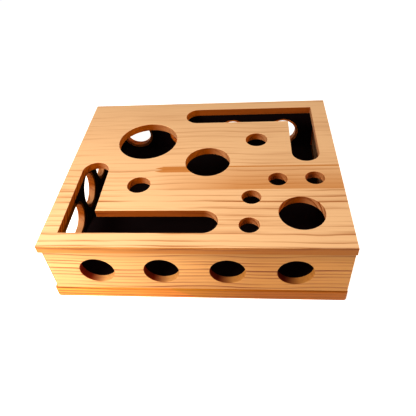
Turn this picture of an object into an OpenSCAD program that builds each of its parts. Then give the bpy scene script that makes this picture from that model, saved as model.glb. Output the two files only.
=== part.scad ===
// Cat scratcher puzzle box: a flat pine box that a cat reaches into through paw holes.
// A top board lifts off four walls, which stand on a thicker base board.
// A dark scratch mat lies on the base, and dark scratch linings cover three of the walls.
// Millimetres, +Z up, the front faces -Y, and the origin is the middle of the base board's underside.

/* [Box] */
// Width of the top and base boards
box_w = 300; // [292:2:340]
// Depth of the top and base boards
box_d = 250; // [244:2:290]
// Height from the table to the top face
box_h = 80; // [77:1:100]

/* [Boards] */
// Thickness of the top board
top_t = 9; // [8:0.5:12]
// Thickness of the four walls
wall_t = 8; // [7.5:0.5:11]
// Thickness of the base board
base_t = 15; // [12:0.5:18]
// How far the boards stand past the walls on the left
lip_left = 3.5; // [0:0.5:6]
// How far the boards stand past the walls on the right
lip_right = 1; // [0:0.5:6]
// How far the boards stand past the front wall
lip_front = 1; // [0:0.5:4]
// How far the boards stand past the back wall
lip_back = 1.5; // [0:0.5:4]
// How far the side walls sit in from the ends of the front and back walls
side_in = 0.5; // [0:0.25:2]
// Radius of the base board's upright corners
base_corner_r = 3; // [0.5:0.5:5]

/* [Round holes in the top] */
// Diameter of the widest hole, behind the front slot
wide_hole_d = 70; // [40:1:72]
// Its centre, from the middle of the board
wide_hole_at = [-66.5, 43]; // [-70:0.5:70]
// Diameter of the hole in the middle
middle_hole_d = 50; // [30:1:54]
// Its centre, from the middle of the board
middle_hole_at = [8, 1.5]; // [-10:0.5:10]
// Diameter of the hole in the front right corner
corner_hole_d = 45; // [30:1:52]
// Its centre, in from the right and front edges
corner_hole_in = [45.5, 45.5]; // [42:0.5:48]
// Diameter of the two paw holes on either side of the middle hole
paw_hole_d = 25; // [16:1:28]
// Centre of the paw hole behind the middle hole, from the middle of the board
back_paw_at = [63, 41.5]; // [40:0.5:66]
// Centre of the paw hole in front of the wide hole, from the middle of the board
front_paw_at = [-64, -37]; // [-66:0.5:-34]
// Diameter of the four treat holes
treat_hole_d = 20; // [12:1:22]
// Centre of the left treat hole behind the corner hole, from the middle of the board
treat_a_at = [84, -29.5]; // [-30:0.5:86]
// Centre of the right treat hole behind the corner hole, from the middle of the board
treat_b_at = [122.5, -28]; // [-30:0.5:124]
// Centre of the back treat hole beside the corner hole, from the middle of the board
treat_c_at = [56, -57]; // [-58:0.5:58]
// Centre of the front treat hole beside the corner hole, from the middle of the board
treat_d_at = [53.5, -96]; // [-98:0.5:56]

/* [L-shaped slots in the top] */
// Width of both slots
slot_w = 30; // [20:1:32]
// Length of the leg along the long side, from the slot's outer corner
slot_long = 156.5; // [120:0.5:160]
// Length of the leg along the short side, from the slot's outer corner
slot_short = 108.5; // [80:0.5:112]
// Outer corner of the front slot, in from the left and front edges
front_slot_in = [17, 18.5]; // [14:0.5:20]
// Outer corner of the back slot, in from the right and back edges
back_slot_in = [18, 16]; // [14:0.5:20]

/* [Paw holes in the walls] */
// Diameter of the paw holes in the front and back walls
long_hole_d = 35; // [24:1:37]
// Diameter of the paw holes in the side walls
side_hole_d = 38; // [24:1:39]
// Number of holes in the front wall, and in the back wall
long_holes = 4; // [2:1:4]
// Spacing of the holes in the front wall
front_pitch = 65; // [58:1:68]
// Spacing of the holes in the back wall
back_pitch = 66; // [58:1:68]
// Number of holes in the right wall, and in the left wall with its long opening
side_holes = 3; // [2:1:3]
// Spacing of the holes in the side walls
side_pitch = 52.5; // [50:0.5:60]
// Height of the front wall's hole centres above the base board
front_hole_up = 28; // [26:0.5:30]
// Height of the side walls' hole centres above the base board
side_hole_up = 26.5; // [26:0.5:30]
// Height of the back wall's hole centres above the base board
back_hole_up = 24; // [24:0.5:30]
// Length of the opening that takes the place of the left wall's front hole
long_paw_l = 66; // [50:1:70]
// Height of the long opening, whose ends are round
long_paw_h = 33; // [24:1:36]
// Distance of the long opening from the front wall's inner face
long_paw_in = 18.5; // [18:0.5:22]
// Height of the long opening's middle above the base board
long_paw_up = 24.5; // [24:0.5:28]

/* [Scratch mat and linings] */
// Thickness of the scratch mat on the base board
mat_t = 3; // [2:0.5:3.5]
// Gap all round the mat
mat_gap = 0.5; // [0.3:0.1:2]
// Thickness of the scratch lining on the walls
lining_t = 2; // [1:0.5:3]
// Bare ring left between a wall's paw hole and the edge of its lining
lining_ring = 3.5; // [2:0.5:5]
// Gap between the linings and the underside of the top board
lining_gap = 0.5; // [0.3:0.1:3]
// Gap between the bare right wall and the mat and linings that end at it
bare_gap = 2; // [0.3:0.1:3]

/* [Dowels and pegs] */
// Diameter of the dowels and of the locating pegs
dowel_d = 5; // [4:0.5:5.5]
// Length of a corner dowel
dowel_len = 20; // [16:1:22]
// How deep a corner dowel is glued into the front or back wall
dowel_bite = 6; // [4:0.5:6.5]
// Height of the lower corner dowels above the base board
dowel_low = 14; // [8:1:20]
// Height of the upper corner dowels above the base board
dowel_high = 38; // [32:1:40]
// Length of a locating peg
peg_len = 18; // [14:1:20]
// How deep a locating peg is glued into the top board
peg_bite = 6; // [4:0.5:6.5]
// Distance of the locating pegs from the ends of the front and back walls
peg_in = 20; // [16:1:24]
// Gap round a locating peg in its socket, on the radius
peg_gap = 0.2; // [0.1:0.05:0.5]
// Gap below a locating peg in its socket
peg_end_gap = 1; // [0.5:0.5:4]

/* [Base screws] */
// Diameter of a screw's shank
screw_d = 3; // [2.5:0.1:3.5]
// Diameter of a screw's countersunk head
screw_head_d = 6; // [5.5:0.5:7]
// Height of the head's cone
screw_head_h = 1.8; // [1.5:0.1:2.5]
// Length of a screw
screw_len = 30; // [24:1:32]
// How deep the head lies below the base board's underside
screw_sink = 0.4; // [0.2:0.1:1.5]
// Distance of the outer screws from the ends of the front and back walls
screw_in = 13; // [12:1:14]
// Gap round a screw, on the radius
screw_gap = 0.1; // [0.05:0.05:0.3]
// Width of the cross recess in a screw head
recess_w = 0.8; // [0.6:0.1:1]
// Depth of the cross recess in a screw head
recess_h = 1.1; // [0.8:0.1:1.3]

/* [Hidden] */
$fn = 96;

// How far a cutting shape runs past the face that it cuts
past = 1;

// Levels
rim_z = box_h - top_t;
lining_z = rim_z - lining_gap;
front_hole_z = base_t + front_hole_up;
side_hole_z = base_t + side_hole_up;
back_hole_z = base_t + back_hole_up;
long_paw_z = base_t + long_paw_up;

// Outer and inner faces of the walls
left_x = lip_left - box_w / 2;
right_x = box_w / 2 - lip_right;
front_y = lip_front - box_d / 2;
back_y = box_d / 2 - lip_back;
side_left_x = left_x + side_in;
side_right_x = right_x - side_in;
in_left_x = side_left_x + wall_t;
in_right_x = side_right_x - wall_t;
in_front_y = front_y + wall_t;
in_back_y = back_y - wall_t;

// The mat and the linings end here, clear of the right wall
felt_right_x = in_right_x - bare_gap;

// Hole centres along a wall, and the places half way between them
function row(count, pitch) = [for (i = [0 : count - 1]) (i - (count - 1) / 2) * pitch];
function between(count, pitch) = [for (i = [1 : count - 1]) (i - count / 2) * pitch];
front_row = row(long_holes, front_pitch);
back_row = row(long_holes, back_pitch);
side_row = row(side_holes, side_pitch);
left_row = [for (y = side_row) if (y > side_row[0]) y];

// The long opening runs between the centres of its round ends
long_paw_run = long_paw_l - long_paw_h;
long_paw_y = in_front_y + long_paw_in + long_paw_h / 2;

// Fixings: the pegs and dowels stand in the middle of a wall's thickness
front_mid_y = front_y + wall_t / 2;
back_mid_y = back_y - wall_t / 2;
left_mid_x = side_left_x + wall_t / 2;
right_mid_x = side_right_x - wall_t / 2;
peg_xs = [left_x + peg_in, right_x - peg_in];
dowel_zs = [base_t + dowel_low, base_t + dowel_high];
long_screw_xs = concat([left_x + screw_in], between(long_holes, front_pitch), [right_x - screw_in]);
side_screw_ys = between(side_holes, side_pitch);

pine = [0.87, 0.62, 0.38];
pine_base = [0.82, 0.54, 0.29];
beech = [0.80, 0.63, 0.45];
felt = [0.07, 0.05, 0.05];
zinc = [0.72, 0.73, 0.75];

// A straight board between two corners
module board(low, high) {
    translate(low)
        cube(high - low);
}

// An L-shaped outline with its outer corner at the origin and both free ends round
module slot_outline() {
    end_r = slot_w / 2;
    square([slot_long - end_r, slot_w]);
    translate([slot_long - end_r, end_r])
        circle(end_r);
    square([slot_w, slot_short - end_r]);
    translate([end_r, slot_short - end_r])
        circle(end_r);
}

// A round opening in the top board's outline
module top_hole(at, d) {
    translate(at)
        circle(d / 2);
}

// The holes and slots of the top board, as an outline
module top_openings() {
    top_hole(wide_hole_at, wide_hole_d);
    top_hole(middle_hole_at, middle_hole_d);
    top_hole([box_w / 2 - corner_hole_in[0], corner_hole_in[1] - box_d / 2], corner_hole_d);
    for (at = [back_paw_at, front_paw_at])
        top_hole(at, paw_hole_d);
    for (at = [treat_a_at, treat_b_at, treat_c_at, treat_d_at])
        top_hole(at, treat_hole_d);
    translate([front_slot_in[0] - box_w / 2, front_slot_in[1] - box_d / 2])
        slot_outline();
    translate([box_w / 2 - back_slot_in[0], box_d / 2 - back_slot_in[1]])
        rotate(180)
            slot_outline();
}

// Places its children at each locating peg
module at_pegs() {
    for (x = peg_xs, y = [front_mid_y, back_mid_y])
        translate([x, y, 0])
            children();
}

// Places its children at each corner dowel, with +Z pointing into the side wall
module at_dowels() {
    for (x = [left_mid_x, right_mid_x], z = dowel_zs) {
        translate([x, in_front_y - dowel_bite, z])
            rotate([-90, 0, 0])
                children();
        translate([x, in_back_y + dowel_bite, z])
            rotate([90, 0, 0])
                children();
    }
}

// Places its children at each base screw
module at_screws() {
    for (x = long_screw_xs, y = [front_mid_y, back_mid_y])
        translate([x, y, 0])
            children();
    for (x = [left_mid_x, right_mid_x], y = side_screw_ys)
        translate([x, y, 0])
            children();
}

// Paw holes through the front wall or its lining
module front_holes(y, through, d) {
    for (x = front_row)
        translate([x, y, front_hole_z])
            rotate([-90, 0, 0])
                cylinder(h = through, d = d);
}

// Paw holes through the back wall or its lining
module back_holes(y, through, d) {
    for (x = back_row)
        translate([x, y, back_hole_z])
            rotate([-90, 0, 0])
                cylinder(h = through, d = d);
}

// Round paw holes through a side wall or its lining
module side_wall_holes(ys, x, through, d) {
    for (y = ys)
        translate([x, y, side_hole_z])
            rotate([0, 90, 0])
                cylinder(h = through, d = d);
}

// The long opening through the left wall or its lining, larger by grow all round
module long_paw(x, through, grow) {
    r = long_paw_h / 2 + grow;
    translate([x, long_paw_y, long_paw_z])
        rotate([90, 0, 90])
            linear_extrude(through) {
                circle(r);
                translate([0, -r])
                    square([long_paw_run, 2 * r]);
                translate([long_paw_run, 0])
                    circle(r);
            }
}

// The room that the screws take in the base board and in the walls above it
module screw_room() {
    at_screws() {
        translate([0, 0, -past])
            cylinder(h = screw_len + screw_sink + past + screw_gap, d = screw_d + 2 * screw_gap);
        translate([0, 0, -past])
            cylinder(h = screw_sink + past, d = screw_head_d + 2 * screw_gap);
        translate([0, 0, screw_sink])
            cylinder(h = screw_head_h, d1 = screw_head_d + 2 * screw_gap, d2 = screw_d + 2 * screw_gap);
    }
}

// The sockets in the tops of the front and back walls that take the locating pegs
module peg_sockets() {
    depth = peg_len - peg_bite + peg_end_gap;
    at_pegs()
        translate([0, 0, rim_z - depth])
            cylinder(h = depth + past, d = dowel_d + 2 * peg_gap);
}

// The blind and end-grain holes that the corner dowels fill
module dowel_room() {
    at_dowels()
        cylinder(h = dowel_len, d = dowel_d);
}

// Lift-off top board, with every opening in one outline
module top_board() {
    color(pine)
        difference() {
            translate([0, 0, rim_z])
                linear_extrude(top_t)
                    difference() {
                        square([box_w, box_d], center = true);
                        top_openings();
                    }
            at_pegs()
                translate([0, 0, rim_z - past])
                    cylinder(h = peg_bite + past, d = dowel_d);
        }
}

// Four pegs glued into the top board, which drop into the front and back walls
module locating_pegs() {
    color(beech)
        at_pegs()
            translate([0, 0, rim_z + peg_bite - peg_len])
                cylinder(h = peg_len, d = dowel_d);
}

// Front wall, which covers the ends of the side walls
module front_wall() {
    color(pine)
        difference() {
            board([left_x, front_y, base_t], [right_x, in_front_y, rim_z]);
            front_holes(front_y - past, wall_t + 2 * past, long_hole_d);
            peg_sockets();
            dowel_room();
            screw_room();
        }
}

// Back wall, which covers the ends of the side walls
module back_wall() {
    color(pine)
        difference() {
            board([left_x, in_back_y, base_t], [right_x, back_y, rim_z]);
            back_holes(in_back_y - past, wall_t + 2 * past, long_hole_d);
            peg_sockets();
            dowel_room();
            screw_room();
        }
}

// A side wall between the front and back walls, placed by its left face, with round holes at ys
module side_wall(low_x, ys) {
    difference() {
        board([low_x, in_front_y, base_t], [low_x + wall_t, in_back_y, rim_z]);
        side_wall_holes(ys, low_x - past, wall_t + 2 * past, side_hole_d);
        dowel_room();
        screw_room();
    }
}

// Left side wall, with a long opening in place of the front hole
module left_wall() {
    color(pine)
        difference() {
            side_wall(side_left_x, left_row);
            long_paw(side_left_x - past, wall_t + 2 * past, 0);
        }
}

// Right side wall
module right_wall() {
    color(pine)
        side_wall(in_right_x, side_row);
}

// Eight glued dowels that join the walls at the corners
module corner_dowels() {
    color(beech)
        at_dowels()
            cylinder(h = dowel_len, d = dowel_d);
}

// Outline of the base board, a rectangle whose corners are eased
module base_outline() {
    square([box_w, box_d - 2 * base_corner_r], center = true);
    square([box_w - 2 * base_corner_r, box_d], center = true);
    for (x = [-1, 1], y = [-1, 1])
        translate([x * (box_w / 2 - base_corner_r), y * (box_d / 2 - base_corner_r)])
            circle(base_corner_r);
}

// Base board that the walls stand on
module base_board() {
    color(pine_base)
        difference() {
            linear_extrude(base_t)
                base_outline();
            screw_room();
        }
}

// One countersunk wood screw with a cross recess, its head down
module wood_screw() {
    difference() {
        union() {
            cylinder(h = screw_head_h, d1 = screw_head_d, d2 = screw_d);
            cylinder(h = screw_len, d = screw_d);
        }
        for (turn = [0, 90])
            rotate(turn)
                translate([-screw_d / 2, -recess_w / 2, -past])
                    cube([screw_d, recess_w, recess_h + past]);
    }
}

// Screws that hold the walls from below
module base_screws() {
    color(zinc)
        at_screws()
            translate([0, 0, screw_sink])
                wood_screw();
}

// Dark mat that the cat scratches, laid on the base board between the linings and the bare right wall
module scratch_mat() {
    color(felt)
        board([in_left_x + lining_t + mat_gap, in_front_y + lining_t + mat_gap, base_t],
            [felt_right_x, in_back_y - lining_t - mat_gap, base_t + mat_t]);
}

// Lining on the inside of the front wall
module front_lining() {
    color(felt)
        difference() {
            board([in_left_x, in_front_y, base_t], [felt_right_x, in_front_y + lining_t, lining_z]);
            front_holes(in_front_y - past, lining_t + 2 * past, long_hole_d + 2 * lining_ring);
        }
}

// Lining on the inside of the back wall
module back_lining() {
    color(felt)
        difference() {
            board([in_left_x, in_back_y - lining_t, base_t], [felt_right_x, in_back_y, lining_z]);
            back_holes(in_back_y - lining_t - past, lining_t + 2 * past, long_hole_d + 2 * lining_ring);
        }
}

// Lining on the inside of the left wall, between the other two. Above the long opening it is cut away.
module left_lining() {
    color(felt)
        difference() {
            board([in_left_x, in_front_y + lining_t, base_t],
                [in_left_x + lining_t, in_back_y - lining_t, lining_z]);
            side_wall_holes(left_row, in_left_x - past, lining_t + 2 * past, side_hole_d + 2 * lining_ring);
            long_paw(in_left_x - past, lining_t + 2 * past, lining_ring);
            board([in_left_x - past, long_paw_y - long_paw_h / 2 - lining_ring, long_paw_z],
                [in_left_x + lining_t + past, long_paw_y + long_paw_run + lining_ring, lining_z + past]);
        }
}

top_board();
locating_pegs();
front_wall();
back_wall();
left_wall();
right_wall();
corner_dowels();
base_board();
base_screws();
scratch_mat();
front_lining();
back_lining();
left_lining();
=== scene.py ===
# %% [markdown]
# A cat scratcher puzzle box. A lid board with paw holes and slots lies on four pine walls, which stand
# on a thicker base board. The boards could be drawn again here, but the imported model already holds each
# one at its true size, so this script only gives them the edges, surface and light that the eye expects.

from math import radians

import bmesh
import bpy
from mathutils import Matrix, Vector, noise


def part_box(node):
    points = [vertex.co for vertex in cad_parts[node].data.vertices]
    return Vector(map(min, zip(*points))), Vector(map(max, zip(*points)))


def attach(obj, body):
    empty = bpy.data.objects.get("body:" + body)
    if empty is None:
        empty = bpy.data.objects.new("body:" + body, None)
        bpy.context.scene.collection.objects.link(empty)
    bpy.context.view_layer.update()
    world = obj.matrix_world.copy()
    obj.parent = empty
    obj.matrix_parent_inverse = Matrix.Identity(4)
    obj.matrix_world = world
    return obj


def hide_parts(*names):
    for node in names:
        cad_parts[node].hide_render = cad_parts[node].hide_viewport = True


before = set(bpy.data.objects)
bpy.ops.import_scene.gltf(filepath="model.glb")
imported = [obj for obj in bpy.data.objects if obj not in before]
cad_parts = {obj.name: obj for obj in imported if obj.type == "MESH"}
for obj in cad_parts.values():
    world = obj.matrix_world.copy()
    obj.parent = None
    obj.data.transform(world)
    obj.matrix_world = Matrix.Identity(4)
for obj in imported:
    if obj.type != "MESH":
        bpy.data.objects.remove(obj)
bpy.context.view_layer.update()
MM = 0.001
print("nodes:", sorted(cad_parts))

# %% [markdown]
# Colours are picked on a screen, so they are sRGB. The shader works in linear light, and one function
# turns the one into the other. A second one adds a node to a material with its settings and links, and
# gives back the node's first output, which the next node takes. What goes into the node is a tuple in
# the order of its sockets, or a dictionary where only some of them are set.


# %% Colour and node helpers
def colour(hex_code):
    parts = [int(hex_code[i:i + 2], 16) / 255 for i in (1, 3, 5)]
    return [c / 12.92 if c < 0.04045 else ((c + 0.055) / 1.055) ** 2.4 for c in parts] + [1.0]


def add(tree, kind, inputs=(), **settings):
    node = tree.nodes.new("ShaderNode" + kind)
    for name, value in settings.items():
        setattr(node, name, value)
    for socket, value in inputs.items() if isinstance(inputs, dict) else enumerate(inputs):
        if isinstance(value, bpy.types.NodeSocket):
            tree.links.new(value, node.inputs[socket])
        else:
            node.inputs[socket].default_value = value
    return node.outputs[0] if node.outputs else node


def new_material(name):
    material = bpy.data.materials.new(name)
    material.use_nodes = True
    material.node_tree.nodes.clear()
    return material, material.node_tree


print("white in linear light:", colour("#FFFFFF"))

# %% [markdown]
# Pine shows its growth rings as lines along the board. Stripes could be drawn on each face, but they
# would break at every edge. Here the rings are drawn in the solid, as distances from the tree's pith, so
# the lines on a face and on the wall of a hole agree, as they do in sawn wood.
#
# A panel is glued up from staves, and each stave is cut from another part of a tree, so every stave
# gets a pith of its own, which wanders slowly along the board.


# %% The distance from the pith
STAVE_STEP_MM = 61
WANDER_MM = 150
WANDER_STEP = 7.3
SWING_MM = 26
DIVE_MM = 18


def place_in_mm(tree):
    place = add(tree, "TexCoord").node.outputs["Object"]
    return add(tree, "VectorMath", {0: place, "Scale": 1 / MM}, operation="SCALE")


def pith_distance(tree, axes, stave, pith_mm, waver):
    along, across, deep = axes
    walked = add(tree, "Math", (along, WANDER_MM), operation="DIVIDE")
    own_track = add(tree, "Math", (stave, WANDER_STEP), operation="MULTIPLY")
    track = add(tree, "CombineXYZ", (walked, own_track))
    drift = add(tree, "TexNoise", {"Vector": track, "Scale": 1.0, "Detail": 1.0}).node.outputs["Color"]
    wander = add(tree, "SeparateColor", (drift,)).node.outputs
    pith_across = add(tree, "Math", (stave, STAVE_STEP_MM, pith_mm[0]), operation="MULTIPLY_ADD")
    squares = []
    for drifted, axis, pith, most in ((wander[0], across, pith_across, SWING_MM),
                                      (wander[1], deep, pith_mm[1], DIVE_MM)):
        drifted = add(tree, "Math", (drifted, 0.5), operation="SUBTRACT")
        drifted = add(tree, "Math", (drifted, most * waver), operation="MULTIPLY")
        off = add(tree, "Math", (axis, pith), operation="SUBTRACT")
        off = add(tree, "Math", (off, drifted), operation="ADD")
        off = add(tree, "Math", (off,), operation="ABSOLUTE")
        squares.append(add(tree, "Math", (off, 2), operation="POWER"))
    return add(tree, "Math", (add(tree, "Math", squares, operation="ADD"),), operation="SQRT")


# %% [markdown]
# A tree grows a wide ring in a good year and a narrow one in a dry year, so the rings crowd together in
# places. Each one starts as pale, soft earlywood and ends in a thin orange line of hard latewood. A wave
# texture would space and shade them all alike, so the rings are counted here, and each number gets a
# boldness of its own. The lines also come and go along the board, where the saw crossed them.


# %% The rings and their lines of latewood
RIPPLE_MM = (38, 26, 26)
RIPPLE = 0.5
CROWD_MM = 24
RING_EDGE = 0.12
# Places within a ring, and how dark the wood is there
LATEWOOD = ((0.1, 0.0), (0.55, 0.06), (0.8, 0.36), (0.92, 1.0))
BOLD_SPAN = 0.8
BOLD_LEAST = 0.3
FADE_MM = (90, 28, 40)
FADE_STEP_MM = 148
FADE_FROM = (0.32, 0.68)
FADE_TO = (0.25, 1.35)


def spots(tree, place, sizes_mm, detail):
    stretched = add(tree, "VectorMath", (place, sizes_mm), operation="DIVIDE")
    return add(tree, "TexNoise", {"Vector": stretched, "Scale": 1.0, "Detail": detail})


def count_rings(tree, reach, grain, ring_mm, waver, crowding):
    even = add(tree, "Math", (reach, ring_mm), operation="DIVIDE")
    ripple = spots(tree, grain, RIPPLE_MM, 2.0)
    ripple = add(tree, "Math", (ripple, RIPPLE * waver), operation="MULTIPLY")
    rippled = add(tree, "Math", (even, ripple), operation="ADD")
    slow = add(tree, "Math", (reach, CROWD_MM), operation="DIVIDE")
    crowd = add(tree, "TexNoise", {"W": slow, "Scale": 1.0, "Detail": 1.0}, noise_dimensions="1D")
    return add(tree, "Math", (crowd, crowding, rippled), operation="MULTIPLY_ADD")


def latewood(tree, axes, stave, rings, ring):
    late = add(tree, "ValToRGB", (ring,))
    steps = late.node.color_ramp.elements
    for step in steps:
        step.color = (RING_EDGE, RING_EDGE, RING_EDGE, 1)
    for at, value in LATEWOOD:
        steps.new(at).color = (value, value, value, 1)
    number = add(tree, "Math", (rings,), operation="FLOOR")
    bold = add(tree, "TexWhiteNoise", {"W": number}, noise_dimensions="1D")
    bold = add(tree, "Math", (bold, BOLD_SPAN, BOLD_LEAST), operation="MULTIPLY_ADD")
    line = add(tree, "Math", (late, bold), operation="MULTIPLY")

    along, across, deep = axes
    deeper = add(tree, "Math", (stave, FADE_STEP_MM, deep), operation="MULTIPLY_ADD")
    fade = spots(tree, add(tree, "CombineXYZ", (along, across, deeper)), FADE_MM, 1.0)
    fade = add(tree, "MapRange", (fade, *FADE_FROM, *FADE_TO))
    return add(tree, "Math", (line, fade), operation="MULTIPLY")


# %% [markdown]
# Two looks are needed. A planed face is pale and smooth. The wall of a cut opening is browned by the
# cutter's heat, and painted shade and light on top of that make it darker or paler by the way it faces,
# and end grain, which faces along the board, soaks the brown up in broad bands, one to a ring. One
# function makes both, so the rings run on from a face into a hole, and each layer of colour is laid over
# the ones before it.
#
# A board's run gives the letters of the axes along, across and through it. In an opening, the facing
# along one given axis sets how much of the brown is laid on, a painted shade that grows between two given
# facings, and least is the share that it starts from. Values whose names end in mm are millimetres.

# %% Pine, planed or cut
FIBRE_MM = (60, 1 / 0.7, 1 / 0.7)
FIBRE_SHARE = 0.7
CLOUD_MM = (120, 30, 30)
CLOUD_SHARE = 0.5
FAINT_MM = (-60, 20)
FAINT_TO = (1.25, 0.5)
# Along the board, where the painted shade toward the right end begins and where it is full
SHADE_TO_RIGHT_MM = (-120, 60)
SAWN_END = 0.3
# Facings toward the right, over which the lid's opening walls take a paler brown as painted light
PAINTED_LIGHT_FACINGS = (0.3, 0.9)
RAISED_LINE = 0.5
GRAIN_DEPTH = 0.12 * MM
ROUGH_SPAN = 0.18
ROUGH_LEAST = 0.42
PLANED_GLOSS = 0.28
BROWNED_GLOSS = 0.1
RIM_SHADE = "#E2E0D8"
# Brown of an opening's wall: real scorch, laid on more or less by facing as painted shade
SCORCH_AND_SHADE = "#A3680F"
RESIN = "#C67A20"


def pine(name, run, pale, dark, ring_mm, cut=False, joints_mm=(), seed=0.0, pith_mm=(46, -34),
         waver=0.6, strong=0.9, crowding=1.6, faint_back=False, tint=None, resin_and_shade=RESIN, shade_to_right=None,
         dim_rim_mm=None, scorch_and_shade=SCORCH_AND_SHADE, painted_light_right=None, shade_axis="X", shade_facings=(-0.95, 0.05), least=0.35,
         end_bands=0.3, cut_lines=1.0):
    material, tree = new_material(name)
    place = add(tree, "SeparateXYZ", (place_in_mm(tree),)).node.outputs
    axes = [place[letter] for letter in run]
    along, across, deep = axes
    grain = add(tree, "CombineXYZ", axes)

    # The stave's number, counted across the board
    stave = seed
    for joint in joints_mm:
        past_joint = add(tree, "Math", (across, joint), operation="GREATER_THAN")
        stave = add(tree, "Math", (stave, past_joint), operation="ADD")

    reach = pith_distance(tree, axes, stave, pith_mm, waver)
    rings = count_rings(tree, reach, grain, ring_mm, waver, crowding)
    ring = add(tree, "Math", (rings,), operation="FRACT")
    line = latewood(tree, axes, stave, rings, ring)

    # End grain faces along the board. In an opening it shows broad bands, and the lines can be fainter.
    facing = add(tree, "SeparateXYZ", (add(tree, "NewGeometry").node.outputs["Normal"],)).node.outputs
    end_grain = add(tree, "Math", (facing[run[0]],), operation="ABSOLUTE")
    end_grain = add(tree, "Math", (end_grain, 2), operation="POWER")
    if cut:
        line = add(tree, "Math", (line, cut_lines), operation="MULTIPLY")
        bands = add(tree, "Math", (end_grain, end_bands), operation="MULTIPLY")
        swell = add(tree, "Math", (ring, 2), operation="POWER")
        line = add(tree, "Math", (bands, swell, line), operation="MULTIPLY_ADD")
    if faint_back:
        strength = add(tree, "MapRange", (across, *FAINT_MM, *FAINT_TO))
        line = add(tree, "Math", (line, strength), operation="MULTIPLY")

    # Fine fibres, about a millimetre wide, and broad clouds, both drawn out along the board
    fibre = spots(tree, grain, FIBRE_MM, 3.0)
    cloud = spots(tree, grain, CLOUD_MM, 1.0)
    shade = add(tree, "Math", (line, strong), operation="MULTIPLY")
    for pattern, share in ((fibre, FIBRE_SHARE), (cloud, CLOUD_SHARE)):
        uneven = add(tree, "Math", (pattern, 0.5), operation="SUBTRACT")
        uneven = add(tree, "Math", (uneven, share), operation="MULTIPLY")
        shade = add(tree, "Math", (shade, uneven), operation="ADD")
    layers = [(add(tree, "Clamp", (shade,)), colour(dark), "MIX")]

    # Resin on the lid, painted shade on the base's right end and deepening toward the right, and painted
    # shadow just under the lid's lip
    if tint:
        layers.append((tint(tree, along, across, deep), colour(resin_and_shade), "MIX"))
    if shade_to_right:
        layers.append((add(tree, "MapRange", (along, *SHADE_TO_RIGHT_MM)), colour(shade_to_right), "MULTIPLY"))
    if dim_rim_mm:
        near_lid = add(tree, "MapRange", (across, *dim_rim_mm))
        layers.append((near_lid, colour(RIM_SHADE), "MULTIPLY"))

    # In an opening the brown is real scorch with painted shade on top: it grows with the way that its wall
    # faces, from its least share to all of it.
    # A planed board only has end grain, which drinks light and is a little darker.
    if cut:
        brown_and_shade = add(tree, "MapRange", (facing[shade_axis], *shade_facings, least, 1.0))
    else:
        brown_and_shade = add(tree, "Math", (end_grain, SAWN_END), operation="MULTIPLY")
    scorch_and_painted_light = colour(scorch_and_shade)
    # Painted light: walls that face right, away from the lamp at the front left, turn a paler brown
    if painted_light_right:
        painted_light_share = add(tree, "MapRange", (facing["X"], *PAINTED_LIGHT_FACINGS))
        scorch_and_painted_light = add(tree, "Mix", {0: painted_light_share, 6: scorch_and_painted_light, 7: colour(painted_light_right)},
                   data_type="RGBA").node.outputs[2]
    layers.append((brown_and_shade, scorch_and_painted_light, "MULTIPLY"))

    tone = colour(pale)
    for share, over, blend in layers:
        tone = add(tree, "Mix", {0: share, 6: tone, 7: over}, data_type="RGBA",
                   blend_type=blend).node.outputs[2]
    height = add(tree, "Math", (line, RAISED_LINE), operation="MULTIPLY")
    height = add(tree, "Math", (height, fibre), operation="ADD")
    bump = add(tree, "Bump", {"Strength": 0.25, "Distance": GRAIN_DEPTH, "Height": height})
    rough = add(tree, "Math", (fibre, ROUGH_SPAN, ROUGH_LEAST), operation="MULTIPLY_ADD")
    shader = add(tree, "BsdfPrincipled", {"Base Color": tone, "Roughness": rough, "Normal": bump,
                                          "Specular IOR Level": BROWNED_GLOSS if cut else PLANED_GLOSS})
    add(tree, "OutputMaterial", {"Surface": shader})
    return material


# %% [markdown]
# The lid's middle stave grows a deeper orange toward the right and toward its front edge. An orange
# streak runs along its back joint. Left of the middle hole the streak widens into a finger joint,
# where two lengths of wood meet in pointed teeth a few millimetres wide. The joints are glued flush, so
# they need no shape: each border is a comparison of the place with a line, and the teeth are a zigzag
# that is taken off the place before it is compared. A tint like this takes a board's three axes and
# gives the share of the darker wood.

# %% The lid's darker middle stave
STAVE_JOINTS = (-45, -7)
STREAK_FRONT = -9
STREAK_LEFT = 0
PATCH_FRONT = -17
PATCH_LEFT = -50
PATCH_RIGHT = 8
PATCH_SHARE = 0.8
TOOTH_PITCH = 2.5
TOOTH_LONG = 9
BAND_TO = (0.1, 0.65)
BAND_MM = (-50, 40)


def between(tree, value, low, high):
    above = add(tree, "Math", (value, low), operation="GREATER_THAN")
    below = add(tree, "Math", (value, high), operation="LESS_THAN")
    return add(tree, "Math", (above, below), operation="MULTIPLY")


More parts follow.
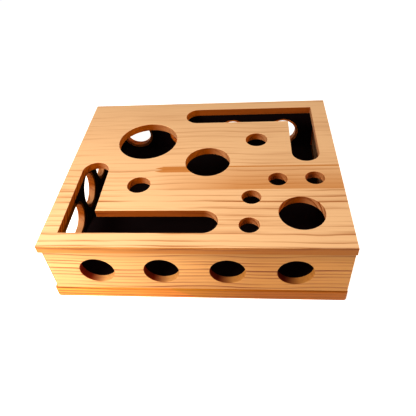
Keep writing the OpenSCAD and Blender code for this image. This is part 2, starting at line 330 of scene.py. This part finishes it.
def middle_stave(tree, along, across, deep):
    front_joint, back_joint = STAVE_JOINTS
    zigzag = add(tree, "Math", (across, TOOTH_PITCH), operation="PINGPONG")
    teeth = add(tree, "Math", (zigzag, TOOTH_LONG / TOOTH_PITCH), operation="MULTIPLY")
    toothed = add(tree, "Math", (along, teeth), operation="SUBTRACT")
    patch = add(tree, "Math", (between(tree, across, PATCH_FRONT, back_joint),
                               between(tree, toothed, PATCH_LEFT, PATCH_RIGHT)), operation="MULTIPLY")
    right_part = add(tree, "Math", (along, STREAK_LEFT), operation="GREATER_THAN")
    streak = add(tree, "Math", (between(tree, across, STREAK_FRONT, back_joint), right_part),
                 operation="MULTIPLY")
    orange = add(tree, "Math", (patch, streak), operation="MAXIMUM")
    orange = add(tree, "Math", (orange, PATCH_SHARE), operation="MULTIPLY")
    deepens = add(tree, "MapRange", (across, back_joint, front_joint, *BAND_TO))
    comes_in = add(tree, "MapRange", (along, *BAND_MM))
    band = add(tree, "Math", (deepens, comes_in), operation="MULTIPLY")
    band = add(tree, "Math", (between(tree, across, front_joint, back_joint), band),
               operation="MULTIPLY")
    return add(tree, "Math", (band, orange), operation="MAXIMUM")


# %% [markdown]
# The base board is darker toward its right end, a painted shade for the light that falls off away from
# the lamp at the left. Its border slants down through the board's front edge, so the place along the
# board is shifted by the depth below its top before it is compared.

# %% The base board's painted shade toward its right end
BASE_SHADE_FROM = -27
BASE_SHADE_SOFT = 2
BASE_SHADE_SLANT = 2.2
BASE_SHADE_SHARE = 0.6
BASE_TOP = 15


def base_shade_share(tree, along, across, deep):
    below_top = add(tree, "Math", (deep, BASE_TOP), operation="SUBTRACT")
    slanted = add(tree, "Math", (below_top, BASE_SHADE_SLANT, along), operation="MULTIPLY_ADD")
    border = (BASE_SHADE_FROM - BASE_SHADE_SOFT, BASE_SHADE_FROM + BASE_SHADE_SOFT)
    return add(tree, "MapRange", (slanted, *border, 0.0, BASE_SHADE_SHARE))


# %% [markdown]
# Each board comes from another tree, so each gets its own ring width, pith and colours. One table holds
# what differs from board to board, because the boards are then easy to compare and to change. The lid's
# front edge has a third finish, a little darker than its face.

# %% Finishes for every board
PALE, DARK = "#F0C495", "#AC6420"
# The third colour of the front wall, the lid's lip and the base is painted shade that deepens toward the
# right end
FRONT_PALE, FRONT_DARK, FRONT_SHADE_TO_RIGHT = "#DFAD72", "#8E4812", "#D2C29D"
LIP_PALE, LIP_DARK, LIP_SHADE_TO_RIGHT = "#C08440", "#7E3E10", "#CCB878"
BASE_PALE, BASE_DARK, BASE_SHADE_TO_RIGHT = "#E09A40", "#86400C", "#CAA325"
# Painted shade laid on the base board's right end
BASE_SHADE = "#BA8C10"
# Painted light: the paler brown of the lid's opening walls that face right
PAINTED_LIGHT_SCORCH = "#DE982C"
# Browns for each wall's openings, real scorch with painted shade: deepest on the front wall, palest on the
# back wall
DEEP_SCORCH_AND_SHADE = "#983A08"
LIGHT_SCORCH_AND_SHADE = "#FFB458"
TAN_SCORCH_AND_SHADE = "#9C6806"
FLAT, LONG_WALL, SIDE_WALL = "XYZ", "XZY", "YZX"
LID_RING_MM = 6.4
LOOKS = {
    "top_board": dict(run=FLAT, pale=PALE, dark=DARK, ring_mm=LID_RING_MM, joints_mm=STAVE_JOINTS,
                      tint=middle_stave, faint_back=True, painted_light_right=PAINTED_LIGHT_SCORCH, least=0.52,
                      end_bands=0.9),
    "front_wall": dict(run=LONG_WALL, pale=FRONT_PALE, dark=FRONT_DARK, ring_mm=5.2, seed=3.0,
                       pith_mm=(-210, -140), strong=1.3, crowding=2.4, shade_to_right=FRONT_SHADE_TO_RIGHT,
                       dim_rim_mm=(56, 70), scorch_and_shade=DEEP_SCORCH_AND_SHADE, shade_facings=(-0.3, 0.6), least=0.1,
                       end_bands=0.0, cut_lines=0.3),
    "back_wall": dict(run=LONG_WALL, pale=PALE, dark=DARK, ring_mm=5.6, seed=5.0,
                      pith_mm=(-330, 90), scorch_and_shade=LIGHT_SCORCH_AND_SHADE),
    "left_wall": dict(run=SIDE_WALL, pale=PALE, dark=DARK, ring_mm=5.0, seed=7.0,
                      pith_mm=(-470, -180), scorch_and_shade=TAN_SCORCH_AND_SHADE, shade_axis="Z", shade_facings=(1.0, 0.45),
                      least=0.6),
    "right_wall": dict(run=SIDE_WALL, pale=PALE, dark=DARK, ring_mm=5.4, seed=9.0,
                       pith_mm=(-600, 100)),
    "base_board": dict(run=FLAT, pale=BASE_PALE, dark=BASE_DARK, ring_mm=4.2, seed=11.0,
                       pith_mm=(-796, -100), waver=0.35, strong=2.4, crowding=1.2, tint=base_shade_share,
                       resin_and_shade=BASE_SHADE, shade_to_right=BASE_SHADE_TO_RIGHT),
}
FINISHES = {node: [pine(f"planed_pine_{node}", **look), pine(f"routed_and_shaded_pine_{node}", cut=True, **look)]
            for node, look in LOOKS.items()}
FINISHES["top_board"].append(pine("planed_pine_lid_lip", run=FLAT, pale=LIP_PALE, dark=LIP_DARK,
                                  ring_mm=LID_RING_MM, strong=1.0, shade_to_right=LIP_SHADE_TO_RIGHT))
print("pine finishes:", sum(len(finishes) for finishes in FINISHES.values()))

# %% [markdown]
# A sawn board never keeps a knife edge: sandpaper takes off about half a millimetre, and that narrow
# round is what catches the light along a rim. The base board is rounded more, and most along its top.
# A Bevel modifier would round every edge over one angle. The edges of the small fixing holes stay
# crisp, because nobody sands inside them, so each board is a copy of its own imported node, merged from
# loose triangles, and the bevel operator gets the edges to round. Edges that are much shorter than the
# rest belong to such holes, or to the box's corners, where they are rounded too.

# %% Round the edges of a board
MERGE = MM / 1000
ONE_PLANE = radians(0.5)
SHARP = radians(60)
SHORTEST_EDGE = 1 * MM
CORNER = 3.2 * MM
AT_TOP = MM / 100
ROUND_STEPS = 3


def eased_copy(node, piece, ease, shortest=SHORTEST_EDGE, top_ease=0):
    low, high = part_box(node)
    middle, half = (low + high) / 2, (high - low) / 2

    def at_corner(edge):
        off = (edge.verts[0].co + edge.verts[1].co) / 2 - middle
        return abs(off.x) > half.x - CORNER and abs(off.y) > half.y - CORNER

    shape = bmesh.new()
    shape.from_mesh(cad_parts[node].data)
    bmesh.ops.remove_doubles(shape, verts=shape.verts, dist=MERGE)
    bmesh.ops.dissolve_limit(shape, angle_limit=ONE_PLANE, verts=shape.verts, edges=shape.edges)
    rims = [edge for edge in shape.edges if edge.calc_face_angle(0) > SHARP
            and (edge.calc_length() > shortest or at_corner(edge))]
    upper = [edge for edge in rims if top_ease and all(vert.co.z > high.z - AT_TOP for vert in edge.verts)]
    others = [edge for edge in rims if edge not in upper]
    for edges, width in ((upper, top_ease), (others, ease)):
        if edges:
            bmesh.ops.bevel(shape, geom=edges, offset=width, segments=ROUND_STEPS, profile=0.5,
                            affect="EDGES", material=-1, clamp_overlap=False)
    bmesh.ops.dissolve_degenerate(shape, dist=MERGE, edges=shape.edges)
    mesh = bpy.data.meshes.new(piece)
    shape.to_mesh(mesh)
    shape.free()
    made = bpy.data.objects.new(piece, mesh)
    bpy.context.scene.collection.objects.link(made)
    print(piece, "has", len(mesh.polygons), "faces and", len(rims), "eased edges")
    return made


# %% [markdown]
# An opening's wall takes the browned finish. So do the inner faces of three walls, as painted shade for
# the dim inside of the box, where their bare wood shows brown round the paw holes, and the lid's front
# edge takes its own. The faces could be picked by number, but their numbers change with the sizes, so
# each is told by where it lies and which way it faces.

# %% Choose a finish for every face of a board
PLANED, ROUTED_AND_SHADED, LIP = 0, 1, 2
# Walls whose inner faces are browned as painted shade
SHADED_INSIDE = ("front_wall", "back_wall", "left_wall")
RIM_MARGIN = 3 * MM
HALF_WAY = 0.5
LIP_FACING = -0.6


def mark_faces(made, node):
    low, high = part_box(node)
    size = high - low
    thick = min(range(3), key=lambda axis: size[axis])
    inward = -1 if low[thick] + high[thick] > 0 else 1
    for face in made.data.polygons:
        inside = all(low[axis] + RIM_MARGIN < face.center[axis] < high[axis] - RIM_MARGIN
                     for axis in range(3) if axis != thick)
        opening = inside and abs(face.normal[thick]) < HALF_WAY
        # Painted shade: the inner faces of three walls take the browned finish because the box is dim
        # inside
        shaded_inner_face = node in SHADED_INSIDE and face.normal[thick] * inward > HALF_WAY
        face.material_index = ROUTED_AND_SHADED if opening or shaded_inner_face else PLANED
        if node == "top_board" and not inside and face.normal.y < LIP_FACING:
            face.material_index = LIP


def finish_piece(made, node, body, slot, *materials):
    for material in materials:
        made.data.materials.append(material)
    for face in made.data.polygons:
        face.use_smooth = True
    made.modifiers.new("even_shading", "WEIGHTED_NORMAL")
    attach(made, body)
    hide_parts(node)


# %% [markdown]
# The lid rides on a body of its own, because it lifts off, and the other five boards stay on the box.
# The rounding is the one thing that differs in how they are made, so one loop makes them all.

# %% The lid, the walls and the base board, with their rounding in millimetres
BOARDS = {
    "top_board": ("lid_board", "lid", "pine", 0.35, 0),
    "front_wall": ("front_panel", "box", "pine", 0.5, 0),
    "back_wall": ("back_panel", "box", "pine", 0.5, 0),
    "left_wall": ("left_panel", "box", "pine", 0.5, 0),
    "right_wall": ("right_panel", "box", "pine", 0.5, 0),
    "base_board": ("base_panel", "box", "pine_base", 1.6, 2.5),
}
for node, (piece, body, slot, ease_mm, top_ease_mm) in BOARDS.items():
    board = eased_copy(node, piece, ease_mm * MM, top_ease=top_ease_mm * MM)
    mark_faces(board, node)
    finish_piece(board, node, body, slot, *FINISHES[node])

# %% [markdown]
# Needled felt is a mat of tangled fibres. Here its black is painted shade, laid where the inside of the
# box lies in deep shade. It takes nearly all the light, and what comes back is a faint sheen at a low
# angle. Real hairs would be far too fine to show, so a twisted noise with tangles about a millimetre
# wide, which is coarser than the real ones, shades and roughens the surface.


# %% Black needled felt, painted shade for the inside of the box
TANGLES_PER_MM = 1.1
TANGLE_DEPTH = 0.4 * MM


def painted_shade_felt(name):
    material, tree = new_material(name)
    tangle = add(tree, "TexNoise", {"Vector": place_in_mm(tree), "Scale": TANGLES_PER_MM, "Detail": 5.0,
                                    "Roughness": 0.7, "Distortion": 1.5})
    # Painted shade: the felt is nearly black because the inside of the box lies in deep shade
    shade = add(tree, "Mix", {0: tangle, 6: colour("#0B0102"), 7: colour("#1B0508")},
                data_type="RGBA").node.outputs[2]
    bump = add(tree, "Bump", {"Strength": 0.8, "Distance": TANGLE_DEPTH, "Height": tangle})
    shader = add(tree, "BsdfPrincipled", {"Base Color": shade, "Roughness": 0.96, "Normal": bump,
                                          "Specular IOR Level": 0.08, "Sheen Weight": 0.02,
                                          "Sheen Roughness": 0.6})
    add(tree, "OutputMaterial", {"Surface": shader})
    return material


PAINTED_SHADE_FELT = painted_shade_felt("painted_shade_needled_felt")
print("felt finish:", PAINTED_SHADE_FELT.name)

# %% [markdown]
# The scratch mat is a thick sheet of black felt that lies loose on the base board, painted shade for the
# dark floor of the box. Cloth simulation could lay it down, but a stiff sheet on a flat board hardly
# moves. So it is cut into a grid, and its top is lowered here and there by about a third of a millimetre
# at most. A felt sheet has no hard edge, so its rims get a soft round of their own.

# %% The scratch mat, black painted shade on the floor of the box
FLOOR_SHEET_EASE = 0.8 * MM
SWELL = 0.35 * MM
SWELL_ACROSS = 45 * MM
GRID = 12 * MM
LAST_CUT = 2 * MM
SKIN = 0.1 * MM

# Painted shade: a black sheet over the floor of the box
floor_shade_sheet = eased_copy("scratch_mat", "painted_shade_floor_felt", FLOOR_SHEET_EASE)
floor_sheet_low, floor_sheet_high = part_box("scratch_mat")
shape = bmesh.new()
shape.from_mesh(floor_shade_sheet.data)
for axis, direction in ((0, Vector((1, 0, 0))), (1, Vector((0, 1, 0)))):
    at = floor_sheet_low[axis] + GRID
    while at < floor_sheet_high[axis] - LAST_CUT:
        point = floor_sheet_low.copy()
        point[axis] = at
        everything = shape.verts[:] + shape.edges[:] + shape.faces[:]
        bmesh.ops.bisect_plane(shape, geom=everything, plane_co=point, plane_no=direction)
        at += GRID
for vert in shape.verts:
    if vert.co.z > floor_sheet_high.z - SKIN:
        vert.co.z -= SWELL * (0.5 + 0.5 * noise.noise(vert.co / SWELL_ACROSS))
shape.to_mesh(floor_shade_sheet.data)
shape.free()
finish_piece(floor_shade_sheet, "scratch_mat", "box", "black_felt", PAINTED_SHADE_FELT)

# %% [markdown]
# The linings are thin sheets of black felt, painted shade for the dim insides of three walls; they are
# glued to the walls and cut clear of the paw holes. Glue holds them flat, so they keep the imported
# node's shape, with a soft rim.

# %% The linings, black painted shade on three walls
PAINTED_SHADE_LINING_EASE = 0.4 * MM
PAINTED_SHADE_LININGS = {
    "front_lining": ("front_painted_shade_felt", 0, "front_panel"),
    "back_lining": ("back_painted_shade_felt", 0, "back_panel"),
    "left_lining": ("left_painted_shade_felt", 1, "left_panel"),
}
# Painted shade: black sheets on the inner faces of three walls
for node, (piece, length_axis, wall) in PAINTED_SHADE_LININGS.items():
    painted_shade_lining = eased_copy(node, piece, PAINTED_SHADE_LINING_EASE)
    finish_piece(painted_shade_lining, node, "box", "black_felt", PAINTED_SHADE_FELT)

# %% [markdown]
# Dowels and pegs are turned beech: paler and pinker than pine, with short dark flecks where the rays are
# cut. Growth rings would be too coarse for a rod of 5 mm, so one noise makes the flecks, drawn out
# upward along the pegs. The dowels lie flat, but they are hidden and share it. The pegs get a rounded
# tip, which guides them into their sockets when the lid goes back on.


# %% Turned beech, and the pegs under the lid
FLECK_MM = (2 / 3, 2 / 3, 3.125)
FLECK_DEPTH = 0.1 * MM
PEG_EASE = 0.7 * MM


def beech(name):
    material, tree = new_material(name)
    place = add(tree, "TexCoord").node.outputs["Object"]
    drawn = add(tree, "Mapping", {"Vector": place, "Scale": [1 / (size * MM) for size in FLECK_MM]})
    fleck = add(tree, "TexNoise", {"Vector": drawn, "Scale": 1.0, "Detail": 3.0})
    shade = add(tree, "Mix", {0: fleck, 6: colour("#D9B48A"), 7: colour("#B88A5E")},
                data_type="RGBA").node.outputs[2]
    bump = add(tree, "Bump", {"Strength": 0.2, "Distance": FLECK_DEPTH, "Height": fleck})
    shader = add(tree, "BsdfPrincipled", {"Base Color": shade, "Roughness": 0.55, "Normal": bump})
    add(tree, "OutputMaterial", {"Surface": shader})
    return material


TURNED_BEECH = beech("turned_beech")
pegs = eased_copy("locating_pegs", "lid_pegs", PEG_EASE, shortest=0)
finish_piece(pegs, "locating_pegs", "lid", "beech_dowel", TURNED_BEECH)

# %% [markdown]
# Zinc-plated steel is a bright metal with a satin, slightly blue surface, a little cloudier in some
# places than in others. The screws and the dowels in the corners already have their shape in the packed
# model and are hardly seen, so they only take a finish.


# %% Zinc plate for the screws, beech for the hidden dowels
CLOUDS_PER_M = 900
SATIN = (0.2, 0.28)


def zinc(name):
    material, tree = new_material(name)
    place = add(tree, "TexCoord").node.outputs["Object"]
    cloud = add(tree, "TexNoise", {"Vector": place, "Scale": CLOUDS_PER_M, "Detail": 2.0})
    rough = add(tree, "Math", (cloud, *SATIN), operation="MULTIPLY_ADD")
    shader = add(tree, "BsdfPrincipled", {"Base Color": colour("#C9CCD2"), "Metallic": 1.0,
                                          "Roughness": rough})
    add(tree, "OutputMaterial", {"Surface": shader})
    return material


for node, material in (("base_screws", zinc("zinc_plated_steel")), ("corner_dowels", TURNED_BEECH)):
    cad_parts[node].data.materials.clear()
    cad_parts[node].data.materials.append(material)
    print(node, "is finished in", material.name)

# %% [markdown]
# The box stands on a white studio floor. A soft, nearly neutral light stands close at the front left, so
# the lid turns from pale yellow there to a deeper tan at the back right. A wide, weaker one at the right
# lights the walls that the first can't reach, a faint one overhead evens the back of the lid, and white
# surroundings fill the rest. One even dome of light would be simpler, but it would lose that slope. The
# view transform is the plain one, so white stays white, and a gamma below one deepens the shadows
# inside the box.

# %% Floor, surroundings and light
FLOOR_SIZE = 8
FLOOR_GLOW = 0.62
WORLD_LIGHT = 0.35
GAMMA = 0.8
LAMP_WHITE = "#FFFAF2"
LIT_PLACE = Vector((0, 0, 0.05))
LAMPS = {
    "close_key": dict(at=Vector((-0.36, -0.38, 0.40)), size=0.2, watts=4.3),
    "far_fill": dict(at=Vector((0.75, 0.00, 0.36)), size=0.5, watts=2.9),
    "overhead": dict(at=Vector((-0.35, 0.15, 0.80)), size=0.3, watts=0.35),
}

bpy.ops.mesh.primitive_plane_add(size=FLOOR_SIZE)
floor = bpy.context.object
floor.name = "floor"
paper, paper_tree = new_material("matt_white_paper")
paper_shader = add(paper_tree, "BsdfPrincipled", {"Base Color": colour("#FAFAFA"), "Roughness": 0.9,
                                                  "Emission Color": colour("#FFFFFF"),
                                                  "Emission Strength": FLOOR_GLOW})
add(paper_tree, "OutputMaterial", {"Surface": paper_shader})
floor.data.materials.append(paper)

world = bpy.data.worlds.new("white_studio")
bpy.context.scene.world = world
world.use_nodes = True
world.node_tree.nodes["Background"].inputs["Color"].default_value = colour("#FFFFFF")
world.node_tree.nodes["Background"].inputs["Strength"].default_value = WORLD_LIGHT
bpy.context.scene.view_settings.view_transform = "Standard"
bpy.context.scene.view_settings.gamma = GAMMA

for name, look in LAMPS.items():
    lamp_data = bpy.data.lights.new(name, "AREA")
    lamp_data.size = look["size"]
    lamp_data.energy = look["watts"]
    lamp_data.color = colour(LAMP_WHITE)[:3]
    lamp = bpy.data.objects.new(name, lamp_data)
    bpy.context.scene.collection.objects.link(lamp)
    lamp.location = look["at"]
    lamp.rotation_mode = "QUATERNION"
    lamp.rotation_quaternion = (LIT_PLACE - look["at"]).to_track_quat("-Z", "Y")
    print(name, "shines with", look["watts"], "W")

# %% [markdown]
# The camera stands in front of the box and a little to the right, and looks down at it. It could be
# turned by eye, but its place, its focal length and the point that it looks at were fitted to the box's
# corners, so the edges fall where they do in the photograph. The view is off the middle of the
# picture, which the lens shift gives.

# %% Camera
PICTURE_PX = 416
FOCAL_PX = 444.33
AIM_PX = (200.26, 196.12)
SENSOR_MM = 36
CAMERA_AT = Vector((51.42, -388.30, 389.73)) * MM
LOOKS_TO = Vector((-0.10436, 0.72798, -0.67761)).normalized()
RIGHT = Vector((0.99452, 0.07241, -0.07538)).normalized()

camera_data = bpy.data.cameras.new("photo_camera")
camera_data.sensor_width = SENSOR_MM
camera_data.lens = FOCAL_PX / PICTURE_PX * SENSOR_MM
camera_data.shift_x = 0.5 - AIM_PX[0] / PICTURE_PX
camera_data.shift_y = AIM_PX[1] / PICTURE_PX - 0.5
camera_data.clip_start = 0.01
camera = bpy.data.objects.new("photo_camera", camera_data)
bpy.context.scene.collection.objects.link(camera)
up = RIGHT.cross(LOOKS_TO)
camera.matrix_world = Matrix.Translation(CAMERA_AT) @ Matrix((RIGHT, up, -LOOKS_TO)).transposed().to_4x4()
bpy.context.scene.camera = camera
print("lens:", round(camera_data.lens, 2), "mm")
